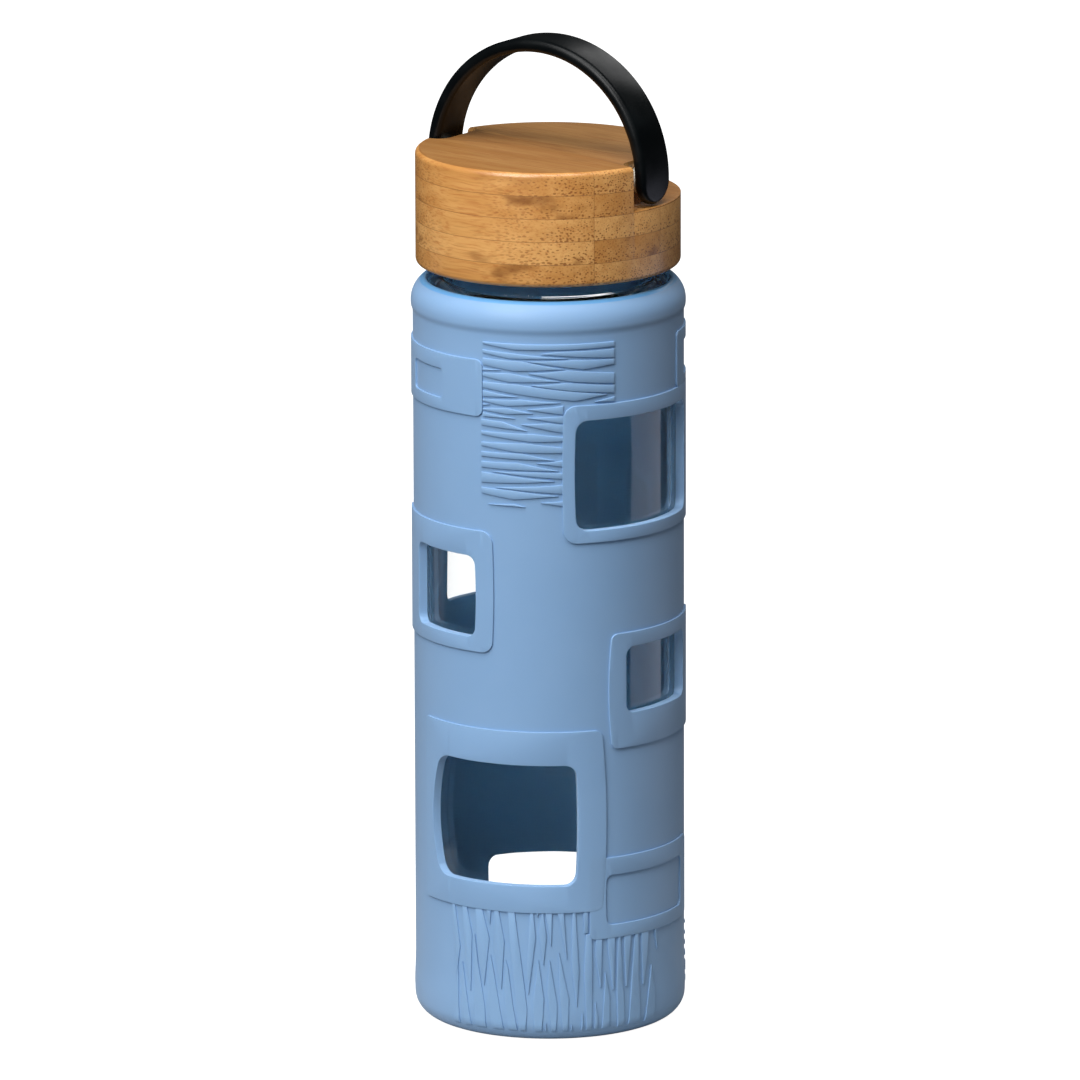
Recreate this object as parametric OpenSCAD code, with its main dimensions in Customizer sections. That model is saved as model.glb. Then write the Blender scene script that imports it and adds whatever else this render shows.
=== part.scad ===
// Glass water bottle in a windowed silicone sleeve, with a laminated bamboo screw cap and a carry strap.
// Millimetres. The origin is the centre of the base, +Z is up, and the strap swings about a line along X.

/* [Glass bottle] */
// Outer radius of the glass body
glass_r = 33.3; // [28:0.1:45]
// Wall of the glass
glass_wall = 2.4; // [1.6:0.1:3.5]
// Thickness of the glass floor
glass_floor = 4.5; // [3:0.1:8]
// Radius of the outer bottom corner of the glass
glass_foot_r = 4; // [2:0.1:6]
// Height of the top of the glass shoulder above the base
shoulder_z = 196; // [160:1:240]
// Radius of the glass shoulder, which is also how far the neck steps in
shoulder_r = 6.1; // [5:0.1:8]
// Height of the neck above the shoulder
neck_h = 17.5; // [16.5:0.5:25]
// Chamfer of the mouth
mouth_edge = 0.8; // [0.3:0.1:1]

/* [Screw thread] */
// Rise of the cap in one turn
thread_pitch = 4; // [3.6:0.1:4.3]
// Turns of thread on the neck and in the liner
thread_turns = 1.4; // [1:0.1:1.5]
// Depth of the thread ridges
thread_depth = 1.2; // [0.8:0.1:1.5]
// Clearance between a ridge and the wall that it faces
thread_gap = 0.3; // [0.2:0.05:0.5]
// Distance from the top of the neck down to its last ridge
thread_drop = 3.3; // [2:0.1:3.8]

/* [Silicone sleeve] */
// Wall of the sleeve
sleeve_wall = 1.7; // [1.2:0.1:2.5]
// Clearance between the sleeve and the glass
sleeve_fit = 0.1; // [0.05:0.05:0.3]
// How far the window frames and plates stand proud of the sleeve
frame_rise = 0.5; // [0.3:0.1:1]
// Radius of the outer bottom corner of the sleeve
sleeve_foot_r = 5.4; // [3:0.1:7]
// Radius of the rolled lip at the top of the sleeve
lip_r = 7; // [6:0.1:7.8]
// How much higher the lip's centre is than the centre of the glass shoulder
lip_lift = 0.3; // [0:0.1:1]

/* [Bamboo cap] */
// Wood round the liner
cap_wall = 4; // [3:0.1:8]
// Wood between the liner and the strap notches
notch_web = 1.3; // [1:0.1:4]
// Gap between the glass shoulder and the cap
cap_gap = 4; // [2:0.5:4.5]
// Radius of the rounded cap edges
cap_edge_r = 1.3; // [0.5:0.1:2.5]
// Height of the strap notches
notch_h = 11.7; // [10:0.1:14]
// Room in front of the strap in the right notch
notch_room = 3.1; // [1:0.1:4]
// Radius of the cutter that makes the notch corners
cutter_r = 4; // [3:0.1:4.5]
// Flat length of the right notch wall behind the pivot line
notch_seat = 7; // [5:0.5:9]
// Slant of the right notch wall where it runs out to the back
runout_angle = 28; // [10:1:35]

/* [Cap liner and seal] */
// Wall of the plastic liner
liner_wall = 1.6; // [1.2:0.1:2.2]
// Distance from the bottom of the cap up to the liner
liner_inset = 0.4; // [0:0.1:1]
// Thickness of the seal
seal_h = 1.6; // [1:0.1:2.5]
// Clearance between the pieces that turn or slide on each other
slip = 0.15; // [0.1:0.05:0.3]
// Gap of the glued and pressed fits
glue = 0.05; // [0.02:0.01:0.1]

/* [Carry strap] */
// Width of the strap
strap_w = 12.6; // [10:0.1:15]
// Thickness of the strap
strap_t = 3.5; // [2.5:0.1:4.2]
// Radius of the strap edges
strap_edge_r = 1.5; // [0.5:0.1:1.7]
// How far the strap stays inside the cap radius
strap_inset = 0.2; // [0:0.1:1]
// Room under the round ends of the strap
strap_room = 0.4; // [0.3:0.1:1]
// How far the strap swings back, in degrees
swing_back = 30; // [10:1:35]
// How far the strap swings forward, in degrees
swing_front = 5; // [0:1:10]
// Room left in the left notch at the ends of the swing
swing_room = 0.6; // [0.4:0.1:1.5]

/* [Strap pivot] */
// Radius of the pivot pins
pin_r = 2; // [1.5:0.1:2.4]
// Length of pin that runs in the cap
pin_reach = 8; // [6:0.5:10]
// Width of the pin head round the shank
head_rim = 2; // [1:0.1:2.5]
// Thickness of the pin head
head_t = 0.9; // [0.6:0.1:1.2]
// Rubber between the pin head and the inside of the strap
head_inset = 0.8; // [0.5:0.1:1.2]
// Wall of the bush
bush_wall = 1; // [0.6:0.1:1.5]
// Room between the end of the pin and the end of the bush
bush_room = 1; // [0.2:0.1:2]
// Width of the washer ring round its hole
washer_rim = 1.65; // [1:0.05:1.7]
// Thickness of the washers between the cap and the strap
washer_t = 2; // [1:0.1:3]

/* [Hidden] */
$fn = 96;
// How far a cutter runs past the surface that it opens, and how deep added ridges are rooted
past = 5;
bond = 0.4;

// Glass
glass_z = sleeve_wall + sleeve_fit;
bore_r = glass_r - glass_wall;
neck_r = glass_r - shoulder_r;
mouth_r = neck_r - glass_wall;
neck_top = shoulder_z + neck_h;

// Sleeve
sleeve_in = glass_r + sleeve_fit;
sleeve_r = sleeve_in + sleeve_wall;
frame_r = sleeve_r + frame_rise;
lip_z = shoulder_z - shoulder_r + lip_lift;
// How far the lip rolls in, and where its inside leaves the glass, in degrees up from level
lip_roll = 57;
lip_leave = 45;
lip_top = lip_z + lip_r * sin(lip_roll);
// Soft swelling of the sleeve just above its foot
swell = 0.25;
swell_z = 8;
// Direction of the front, round from +X
front = -55.7;

// Cap, liner and seal
cap_z = shoulder_z + cap_gap;
seal_z = neck_top + slip;
ceiling_z = seal_z + seal_h + slip;
liner_top = ceiling_z + liner_wall;
liner_edge_z = cap_z + liner_inset;
liner_in = neck_r + thread_depth + thread_gap;
liner_r = liner_in + liner_wall;
cap_r = liner_r + cap_wall;
notch_z = liner_top + notch_web;
cap_top = notch_z + notch_h;
// How far the seal stays inside the neck, and how far it reaches over the mouth
seal_edge = 0.2;
seal_lap = 0.6;

// Thread: widths of a ridge as shares of the pitch and of its root, and the ridge's facets
neck_root = thread_pitch * 0.44;
liner_root = thread_pitch * 0.35;
crest_share = 0.45;
turn_steps = 30;
fade_steps = 4;
thread_z = neck_top - thread_drop - thread_pitch * (thread_turns + 0.5);

// Strap and its pivot
strap_r = cap_r - strap_inset;
strap_mid = strap_r - strap_t / 2;
strap_in = strap_r - strap_t;
strap_half = strap_w / 2;
pivot_z = notch_z + strap_room + strap_half;
washer_hole = pin_r + slip;
washer_r = washer_hole + washer_rim;
bush_r = washer_hole + bush_wall;
bush_h = pin_reach + bush_room + bush_wall;
head_r = pin_r + head_rim;

// Notches: the washer fits between the flat wall and the curve of the strap
notch_s = sqrt(pow(strap_in, 2) - pow(washer_r, 2)) - washer_t - 2 * slip;
notch_reach = cap_r + past;
notch_front = strap_half + notch_room;
rise_above_pivot = cap_top - pivot_z;
slot_front = rise_above_pivot * tan(swing_front) + strap_half / cos(swing_front) + swing_room;
slot_back = rise_above_pivot * tan(swing_back) + strap_half / cos(swing_back) + swing_room;

// Shoulder height that the window heights below are drawn for
pattern_z = 196;
// Windows: left and right edges in degrees round from the front, bottom and top, corner radius,
// and how far the left and the right edge bow outwards
windows = [
    [11.5, 80, 136.2, 165.3, 3.2, 0.4, 0],
    [-71, -32.8, 107.2, 128.7, 2.4, 0, 0.4],
    [34, 77, 86.8, 104.4, 2.4, 0, 0],
    [-52.5, 11.2, 42.1, 74.3, 3, 3.4, 0.6],
    [-149, -208, 12.5, 34, 3, 0, 0],
    [-120.5, -168, 105.6, 127.4, 2.4, 0, 0],
    [-176, -224, 155, 172.5, 3, 0, 0]
];
// The frame round each window, in the same form
frames = [
    [6.2, 93, 133, 169.3, 3.4, 0.3, 0],
    [-98, -24.6, 103.4, 135.6, 3, 0, 0.5],
    [27.3, 96, 77.8, 108.2, 1.5, 1, 0],
    [-64.8, 22.5, 35, 83.2, 2, 0, 1.2],
    [-138, -216, 8.5, 40, 2, 0, 0],
    [-112, -176, 100.5, 132.5, 3, 0, 0],
    [-169, -232, 150.5, 177, 2, 0, 0]
];
// Raised plates that have a panel sunk in the middle
plates = [
    [-112, -28.7, 165.7, 180.6, 2, 0, 0],
    [68.9, 128, 169, 183.9, 1.5, 0, 0],
    [17, 81, 27.4, 48.9, 1.5, 0, 0],
    [118, 160, 62, 92, 2, 0, 0]
];
panels = [
    [-75, -50.3, 168.8, 176.6, 1, 0, 0],
    [79.1, 118, 171.5, 180.5, 1, 0, 0],
    [24.6, 73, 30.9, 44.3, 1.6, 0.3, 0],
    [125, 153, 66, 88, 1.6, 0, 0]
];

// Points along an arc
function arc(cx, cy, r, a0, a1, n = 10) =
    [for (i = [0 : n]) let (a = a0 + (a1 - a0) * i / n) [cx + r * cos(a), cy + r * sin(a)]];

// Closed outline with round corners whose upright sides bow outwards
function bowed(y0, y1, z0, z1, r, b0, b1, n = 8) = concat(
    arc(y0 + r, z0 + r, r, 180, 270, n),
    arc(y1 - r, z0 + r, r, 270, 360, n),
    [for (i = [1 : n - 1]) let (v = i / n) [y1 + b1 * 4 * v * (1 - v), z0 + r + (z1 - z0 - 2 * r) * v]],
    arc(y1 - r, z1 - r, r, 0, 90, n),
    arc(y0 + r, z1 - r, r, 90, 180, n),
    [for (i = [1 : n - 1]) let (v = i / n) [y0 - b0 * 4 * v * (1 - v), z1 - r - (z1 - z0 - 2 * r) * v]]
);

// Prism that cuts or keeps one area of the sleeve wall, seen along the radius through its middle.
// Heights are the pattern's own; they stretch with the height of the bottle.
module area(w, reach = frame_r + past) {
    lo = min(w[0], w[1]);
    hi = max(w[0], w[1]);
    half = sleeve_r * sin((hi - lo) / 2);
    stretch = shoulder_z / pattern_z;
    rotate([0, 0, front + (lo + hi) / 2]) rotate([90, 0, 90]) linear_extrude(reach)
        polygon(bowed(-half, half, w[2] * stretch, w[3] * stretch, w[4], w[5], w[6]));
}

// The sleeve's outside as a solid of revolution, with the rolled lip at the top
module sleeve_outside() {
    rotate_extrude() polygon(concat(
        [[0, 0]],
        arc(sleeve_r - sleeve_foot_r, sleeve_foot_r, sleeve_foot_r, 270, 360),
        [[sleeve_r + swell, swell_z], [sleeve_r, 2 * swell_z], [sleeve_r, lip_z - past]],
        arc(frame_r - lip_r, lip_z, lip_r, 0, lip_roll),
        [[0, lip_top]]));
}

// The room in the sleeve that the glass fills
module sleeve_inside() {
    leave_r = sleeve_in - shoulder_r * (1 - cos(lip_leave));
    rotate_extrude() polygon(concat(
        [[0, sleeve_wall]],
        arc(sleeve_in - glass_foot_r, sleeve_wall + glass_foot_r, glass_foot_r, 270, 360),
        arc(sleeve_in - shoulder_r, shoulder_z - shoulder_r, shoulder_r, 0, lip_leave),
        [[leave_r, lip_top + past], [0, lip_top + past]]));
}

// Thin ring in which the frames and plates stand proud
module sleeve_band() {
    rotate_extrude() translate([sleeve_r - bond, sleeve_foot_r])
        square([frame_rise + bond, lip_z - sleeve_foot_r]);
}

module silicone_sleeve() {
    color("#86AAD0") difference() {
        union() {
            sleeve_outside();
            intersection() {
                sleeve_band();
                union() {
                    for (w = frames) area(w);
                    difference() {
                        for (w = plates) area(w);
                        for (w = panels) area(w, frame_r + 2 * past);
                    }
                }
            }
        }
        sleeve_inside();
        for (w = windows) area(w);
    }
}

// Helical ridge: a trapezoid swept up round the axis; depth below zero makes an inside ridge
module thread_ridge(r, depth, root, z0) {
    rings = round(thread_turns * turn_steps);
    crest = root * crest_share;
    inward = depth < 0;
    foot = r + (inward ? bond : -bond);
    points = [for (i = [0 : rings])
        let (a = 360 * i / turn_steps, z = z0 + thread_pitch * i / turn_steps,
            fade = min(1, (i + bond) / fade_steps, (rings - i + bond) / fade_steps), top = r + fade * depth)
        for (p = [[foot, -root / 2], [top, -crest / 2], [top, crest / 2], [foot, root / 2]])
            [p[0] * cos(a), p[0] * sin(a), z + p[1]]];
    sides = [for (i = [0 : rings - 1], k = [0 : 3])
        let (a = i * 4 + k, b = i * 4 + (k + 1) % 4, quad = [a, b, b + 4, a + 4])
        inward ? [quad[3], quad[2], quad[1], quad[0]] : quad];
    last = rings * 4;
    ends = inward ? [[0, 1, 2, 3], [last + 3, last + 2, last + 1, last]]
        : [[3, 2, 1, 0], [last, last + 1, last + 2, last + 3]];
    polyhedron(points, concat(sides, ends));
}

module glass_bottle() {
    inside_z = glass_z + glass_floor;
    color("#CFE3EC", 0.4) {
        difference() {
            rotate_extrude() polygon(concat(
                [[0, glass_z]],
                arc(glass_r - glass_foot_r, glass_z + glass_foot_r, glass_foot_r, 270, 360),
                arc(neck_r, shoulder_z - shoulder_r, shoulder_r, 0, 90),
                [[neck_r, neck_top - mouth_edge], [neck_r - mouth_edge, neck_top], [0, neck_top]]));
            rotate_extrude() polygon(concat(
                [[0, inside_z]],
                arc(bore_r - glass_foot_r, inside_z + glass_foot_r, glass_foot_r, 270, 360),
                arc(mouth_r, shoulder_z - glass_wall - shoulder_r, shoulder_r, 0, 90),
                [[mouth_r, neck_top + past], [0, neck_top + past]]));
        }
        thread_ridge(neck_r, thread_depth, neck_root, thread_z + thread_pitch / 2);
    }
}

module cap_seal() {
    color("#E9E9E4") translate([0, 0, seal_z]) difference() {
        cylinder(r = neck_r - seal_edge, h = seal_h);
        translate([0, 0, -past]) cylinder(r = mouth_r - seal_lap, h = seal_h + 2 * past);
    }
}

module cap_liner() {
    color("#EDEDE8") {
        difference() {
            translate([0, 0, liner_edge_z]) cylinder(r = liner_r, h = liner_top - liner_edge_z);
            translate([0, 0, liner_edge_z - past])
                cylinder(r = liner_in, h = ceiling_z - liner_edge_z + past);
        }
        thread_ridge(liner_in, -thread_depth, liner_root, thread_z);
    }
}

// Plan of the left strap notch: a slot with round corners, closed behind the strap
module slot_plan() {
    polygon(concat(
        [[notch_reach, slot_back], [notch_reach, -slot_front]],
        arc(notch_s + cutter_r, cutter_r - slot_front, cutter_r, 270, 180),
        arc(notch_s + cutter_r, slot_back - cutter_r, cutter_r, 180, 90)));
}

// Plan of the right strap notch: it runs out to the back along a slanting wall
module notch_plan() {
    polygon(concat(
        [[notch_reach, -notch_front]],
        arc(notch_s + cutter_r, cutter_r - notch_front, cutter_r, 270, 180),
        [[notch_s, notch_seat], [notch_s - cap_r * tan(runout_angle), notch_seat + cap_r],
        [notch_reach, notch_seat + cap_r]]));
}

module bamboo_cap() {
    color("#C89660") difference() {
        rotate_extrude() polygon(concat(
            [[0, cap_z]],
            arc(cap_r - cap_edge_r, cap_z + cap_edge_r, cap_edge_r, 270, 360),
            arc(cap_r - cap_edge_r, cap_top - cap_edge_r, cap_edge_r, 0, 90),
            [[0, cap_top]]));
        translate([0, 0, cap_z - past]) cylinder(r = liner_r + glue, h = liner_top + glue - cap_z + past);
        translate([0, 0, notch_z]) linear_extrude(notch_h + past) {
            notch_plan();
            mirror([1, 0]) slot_plan();
        }
        for (side = [-1, 1]) pivot(side) translate([0, 0, notch_s - bush_h])
            cylinder(r = bush_r + glue, h = bush_h + past);
    }
}

// Puts a shape drawn along +Z onto the pivot line, on the left (-1) or the right (1)
module pivot(side) {
    translate([0, 0, pivot_z]) rotate([0, side * 90, 0]) children();
}

module strap_section() {
    x = strap_t / 2 - strap_edge_r;
    y = strap_half - strap_edge_r;
    square([strap_t, 2 * y], center = true);
    square([2 * x, strap_w], center = true);
    for (sx = [-1, 1], sy = [-1, 1]) translate([sx * x, sy * y]) circle(strap_edge_r);
}

// Half-round arch on two round ends, with the room that the pins and their heads fill
module carry_strap() {
    color("#11181B") difference() {
        union() {
            translate([0, 0, pivot_z]) rotate([90, 0, 0])
                rotate_extrude(angle = 180) translate([strap_mid, 0]) strap_section();
            for (side = [-1, 1]) pivot(side) intersection() {
                translate([0, 0, strap_mid]) rotate_extrude() intersection() {
                    rotate(90) strap_section();
                    translate([0, -strap_w]) square(2 * strap_w);
                }
                translate([side * strap_w, 0, strap_mid])
                    cube([2 * strap_w, 2 * strap_w, 2 * strap_t], center = true);
            }
        }
        for (side = [-1, 1]) pivot(side) {
            cylinder(r = pin_r, h = strap_in + head_inset + head_t);
            translate([0, 0, strap_in + head_inset]) cylinder(r = head_r, h = head_t);
        }
    }
}

// Steel pin: its head is moulded into the strap, its shank turns in the bush
module pivot_pin(side) {
    color("#B9BDC1") pivot(side) {
        translate([0, 0, notch_s - pin_reach])
            cylinder(r = pin_r, h = strap_in + head_inset + head_t - notch_s + pin_reach);
        translate([0, 0, strap_in + head_inset]) cylinder(r = head_r, h = head_t);
    }
}

module pivot_bush(side) {
    color("#C9A24A") pivot(side) translate([0, 0, notch_s - bush_h]) difference() {
        cylinder(r = bush_r, h = bush_h);
        translate([0, 0, bush_wall]) cylinder(r = washer_hole, h = bush_h);
    }
}

module pivot_washer(side) {
    color("#E4E4DE") pivot(side) translate([0, 0, notch_s + slip]) difference() {
        cylinder(r = washer_r, h = washer_t);
        translate([0, 0, -past]) cylinder(r = washer_hole, h = washer_t + 2 * past);
    }
}

glass_bottle();
silicone_sleeve();
cap_seal();
bamboo_cap();
cap_liner();
carry_strap();
pivot_pin(-1);  // pivot_pin_left
pivot_pin(1);  // pivot_pin_right
pivot_bush(-1);  // pivot_bush_left
pivot_bush(1);  // pivot_bush_right
pivot_washer(-1);  // pivot_washer_left
pivot_washer(1);  // pivot_washer_right
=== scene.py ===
"""Glass water bottle in a windowed silicone sleeve, with a laminated bamboo screw cap and a carry strap.

Every size in this file is in millimetres and every mesh is written in metres. The object stands on the
plane z = 0 with its axis on Z, the strap swings about a line along X and the open strap notch is on +X.
"""
import logging
import math
from dataclasses import dataclass
from enum import IntEnum
from typing import Any, Callable, Iterable, Sequence

import bmesh
import bpy
from mathutils import Matrix, Vector


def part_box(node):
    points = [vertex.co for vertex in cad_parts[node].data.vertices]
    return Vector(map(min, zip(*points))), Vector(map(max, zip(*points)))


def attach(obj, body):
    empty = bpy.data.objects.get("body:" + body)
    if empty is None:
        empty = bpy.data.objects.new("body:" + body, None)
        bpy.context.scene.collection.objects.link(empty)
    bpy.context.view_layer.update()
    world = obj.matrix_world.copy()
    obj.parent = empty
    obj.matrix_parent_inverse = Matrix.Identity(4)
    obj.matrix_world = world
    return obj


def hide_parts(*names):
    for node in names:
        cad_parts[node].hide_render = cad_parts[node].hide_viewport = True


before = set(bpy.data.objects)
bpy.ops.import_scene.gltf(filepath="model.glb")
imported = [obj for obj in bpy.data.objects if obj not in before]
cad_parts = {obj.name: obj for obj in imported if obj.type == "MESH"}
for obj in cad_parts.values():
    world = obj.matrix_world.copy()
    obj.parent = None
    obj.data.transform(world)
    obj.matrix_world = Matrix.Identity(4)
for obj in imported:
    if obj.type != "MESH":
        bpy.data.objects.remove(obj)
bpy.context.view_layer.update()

MM = 0.001
FRONT = -55.7  # direction of the pattern's front, in degrees round from +X
SMOOTH_ANGLE = math.radians(32)
log = logging.getLogger("bottle")

Point = tuple[float, float]
Corner = tuple[float, float, float]


# Outlines of the flat raised shards, in millimetres round the tube from the front and up from the base
LEVEL_SHARDS = (
    ((-17.5, 185), (-9, 184), (17.5, 184.2), (17.5, 185.5), (-17.5, 185.5)),
    ((-17.5, 182.6), (-10, 181.6), (5, 181.8), (-10, 183), (-17.5, 183.4)),
    ((-2, 183), (17.5, 181.2), (17.5, 183.6), (2, 183.6)),
    ((-17.5, 179.5), (-9, 178.4), (4, 179), (-7, 181), (-17.5, 181.2)),
    ((-5.5, 181), (9, 178.8), (17.5, 179.6), (17.5, 180.9), (6, 181.3)),
    ((-17.5, 177.9), (-12.5, 178.4), (-17.5, 178.6)),
    ((-17.5, 176.5), (-10, 175.4), (3, 175.8), (-10, 177.7), (-17.5, 177.4)),
    ((-5, 177.8), (6, 175.7), (17.5, 174.5), (17.5, 177.2), (5, 178.7)),
    ((-17.5, 173.5), (0, 171.4), (7, 170.6), (15.5, 171.8), (-8, 174.9), (-17.5, 175)),
    ((-4.5, 174.7), (6, 173.2), (17.5, 172), (17.5, 174), (5, 175.4)),
    ((-17.5, 171.1), (-8, 171.6), (-17.5, 172.7)), ((12, 170.1), (17.5, 169.7), (17.5, 171)),
    ((-17.5, 169.9), (-11, 169.1), (3, 170.2), (-7, 170.9), (-17.5, 170.4)),
    ((-17.5, 168.7), (-15.5, 169.2), (-17.5, 169.3)),
    ((-17.5, 167.6), (-11, 167), (-4, 167.4), (-11, 168.6), (-17.5, 168)),
    ((-5.5, 168.4), (3.8, 167.1), (3.8, 169.4)), ((-17.5, 165.9), (-8.5, 165.9), (-17.5, 167)),
    ((-5.5, 166.2), (3.8, 164.8), (3.8, 166.7)),
    ((-18, 163.6), (-5.5, 162.8), (-12, 164.9), (-18, 165.1)),
    ((-7, 164.4), (3.8, 162.3), (3.8, 164.4), (0, 164.9)),
    ((-18, 161.2), (-4, 159.9), (3.8, 160.1), (3.8, 161.2), (-4, 162), (-18, 162)),
    ((-18, 158.2), (-8, 157.1), (3.8, 157), (3.8, 158.4), (-6, 159.5), (-18, 159.1)),
    ((-18, 155.4), (1.5, 155.1), (-7, 156.8), (-18, 156.6)), ((-3, 154.3), (3.6, 153.4), (3.6, 155)),
    ((-18, 152.5), (2.5, 152.3), (-8, 154.3), (-18, 154)),
    ((-15, 151.6), (3.6, 150.2), (3.6, 151.7), (-3, 152)),
    ((-18, 148.5), (-6, 149.1), (1.5, 149.6), (-12, 151), (-18, 151.2)),
    ((-14, 147.5), (3.6, 146.3), (3.6, 148.6)),
    ((-18, 145.7), (-9, 144.6), (2.5, 145.7), (-10, 147), (-18, 147.2)),
    ((-2, 143.9), (3.6, 143), (3.6, 144.3)), ((-16, 142.9), (-6, 142.7), (-9, 143.4)),
)
HANGING_SHARDS = (
    ((-5.1, 35), (-6.1, 20), (-5.6, 13), (-3.7, 28.5), (-4.3, 35)),
    ((-3.5, 35), (-3.2, 33.8), (-2.9, 35)),
    ((-2.1, 35), (-2.9, 30), (-1.7, 21), (-0.9, 28.5), (-1.7, 35)), ((-1.1, 35), (0.3, 26), (0.6, 35)),
    ((2, 35), (2.8, 31), (4.4, 22.5), (3.6, 35)),
    ((5.8, 35), (5.6, 20), (6.9, 9.7), (7.5, 19), (6.6, 35)),
    ((8.7, 35), (8.9, 29.3), (9.9, 29.3), (9.9, 35)),
    ((-14.8, 35), (-15, 25), (-12.8, 14), (-12, 27), (-13.5, 35)),
    ((-20.3, 35), (-19.5, 22), (-17.7, 14.5), (-16.2, 27.5), (-18.2, 35)),
    ((-17, 35), (-16, 31), (-15.7, 35)),
    ((-24.5, 35), (-23.5, 22), (-21.8, 12.5), (-21.4, 28), (-23, 35)),
    ((-28, 35), (-27.5, 26), (-26.5, 16), (-25.3, 24), (-27, 35)),
)
FOOT_SHARDS = (
    ((12, 28), (12, 22.5), (13.2, 14.5), (13.5, 14.5), (13.8, 28)),
    ((15.1, 28), (16.8, 13.5), (17.2, 13.5), (17.4, 28)),
    ((20.1, 28), (20.7, 13.8), (21.1, 13.8), (22.5, 28)),
    ((25.8, 28), (26.3, 13.5), (26.7, 13.5), (28.2, 22), (28.4, 28)), ((30.5, 28), (31.8, 21.8), (31.4, 28)),
    ((-8, 3.3), (-6.4, 3.3), (-6, 9), (-6.5, 14), (-9.2, 35), (-11, 35), (-10.6, 27)),
    ((9.5, 3.3), (10.8, 3.3), (11.1, 20), (10.9, 29), (9.4, 29), (8.9, 19)),
    ((18.2, 3.3), (20.2, 3.3), (20, 11), (19, 28), (18.4, 28), (17.9, 14)),
    ((21.5, 3.3), (25.3, 3.3), (25, 15), (24.8, 28), (23.7, 28)),
    ((-27.5, 3.3), (-25.6, 3.3), (-26, 19), (-27.4, 10)),
    ((-24, 3.3), (-21.7, 3.3), (-24.5, 20), (-24.6, 10)),
    ((-20.5, 3.3), (-17.3, 3.3), (-17.5, 9), (-19.5, 20), (-20.5, 28), (-20.6, 14)),
    ((-15.3, 3.3), (-12.3, 3.3), (-15, 19), (-15.8, 23), (-17, 12)),
    ((-11, 3.3), (-8.6, 3.3), (-9.7, 10), (-11, 20), (-11.6, 22), (-12, 13)),
    ((-4, 3.3), (-2.2, 3.3), (-1.6, 12), (-3, 22.5), (-4.5, 11)), ((-1.4, 3.3), (-0.9, 3.3), (-1.1, 5.6)),
    ((0.3, 3.3), (1.5, 3.3), (1.8, 10.5), (-0.1, 22.5), (-0.8, 14)),
    ((3.3, 3.3), (4.5, 3.3), (4.8, 12), (2.3, 24.5), (2.4, 13)), ((5.3, 3.3), (5.9, 3.3), (5.5, 5)),
    ((8, 3.3), (8.6, 3.3), (8.4, 8)), ((11.6, 3.3), (12.5, 3.3), (12.4, 7), (11.9, 10.7)),
    ((13.7, 3.3), (15.7, 3.3), (15.8, 12), (14.7, 18.3)), ((27, 3.3), (30.5, 3.3), (30.8, 11), (29.5, 18)),
)


# ---------------------------------------------------------------- colour and nodes


def linear(hex_colour: str) -> tuple[float, float, float, float]:
    """Turns an sRGB hex colour into linear RGBA.

    Args:
        hex_colour: Six hex digits after a hash sign.

    Returns:
        Red, green, blue and alpha, from 0 to 1.
    """
    parts = [int(hex_colour[i:i + 2], 16) / 255 for i in (1, 3, 5)]
    red, green, blue = [c / 12.92 if c <= 0.04045 else ((c + 0.055) / 1.055) ** 2.4 for c in parts]
    return red, green, blue, 1.0


def add(tree: bpy.types.NodeTree, kind: str, inputs: dict | None = None, **settings: Any) -> bpy.types.Node:
    """Adds one node with its settings and its links.

    Args:
        tree: Node tree that gets the node.
        kind: Node type, such as ShaderNodeMath.
        inputs: Value or source socket for each input, by the input's name or number.
        settings: Attributes of the node.

    Returns:
        The new node.
    """
    node = tree.nodes.new(kind)
    for name, value in settings.items():
        setattr(node, name, value)
    for name, value in (inputs or {}).items():
        if isinstance(value, bpy.types.NodeSocket):
            tree.links.new(value, node.inputs[name])
        else:
            node.inputs[name].default_value = value
    return node


def new_material(name: str) -> tuple[bpy.types.Material, bpy.types.NodeTree, bpy.types.Node]:
    """Makes an empty node material with a Principled shader.

    Args:
        name: Name of the finish.

    Returns:
        The material, its node tree and its shader node.
    """
    material = bpy.data.materials.new(name)
    material.use_nodes = True
    tree = material.node_tree
    return material, tree, tree.nodes["Principled BSDF"]


def object_coordinates(tree: bpy.types.NodeTree, turn: float = 0.0, centre: Sequence[float] = (0, 0, 0),
                       stretch: Sequence[float] = (1, 1, 1)) -> bpy.types.NodeSocket:
    """Object coordinates in millimetres, turned about Z.

    Args:
        tree: Node tree of the material.
        turn: Angle in degrees.
        centre: Point in millimetres that becomes the origin before the turn.
        stretch: Factors on the turned axes.

    Returns:
        A vector socket.
    """
    place = add(tree, "ShaderNodeTexCoord")
    centred = add(tree, "ShaderNodeVectorMath", {0: place.outputs["Object"], 1: [c * MM for c in centre]},
                  operation="SUBTRACT")
    turned = add(tree, "ShaderNodeMapping",
                 {"Vector": centred.outputs[0], "Rotation": (0, 0, math.radians(-turn)),
                  "Scale": (1 / MM, 1 / MM, 1 / MM)})
    scaled = add(tree, "ShaderNodeVectorMath", {0: turned.outputs[0], 1: tuple(stretch)},
                 operation="MULTIPLY")
    return scaled.outputs[0]


def ramp(tree: bpy.types.NodeTree, value: bpy.types.NodeSocket, low: float, high: float,
         to_low: float = 0.0, to_high: float = 1.0) -> bpy.types.NodeSocket:
    """Maps a value smoothly from one range to another.

    Args:
        tree: Node tree of the material.
        value: Socket with the value.
        low: Value that gives to_low.
        high: Value that gives to_high.
        to_low: Result at low.
        to_high: Result at high.

    Returns:
        A float socket.
    """
    node = add(tree, "ShaderNodeMapRange", {"Value": value, "From Min": low, "From Max": high,
                                            "To Min": to_low, "To Max": to_high},
               interpolation_type="SMOOTHSTEP")
    return node.outputs[0]


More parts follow.
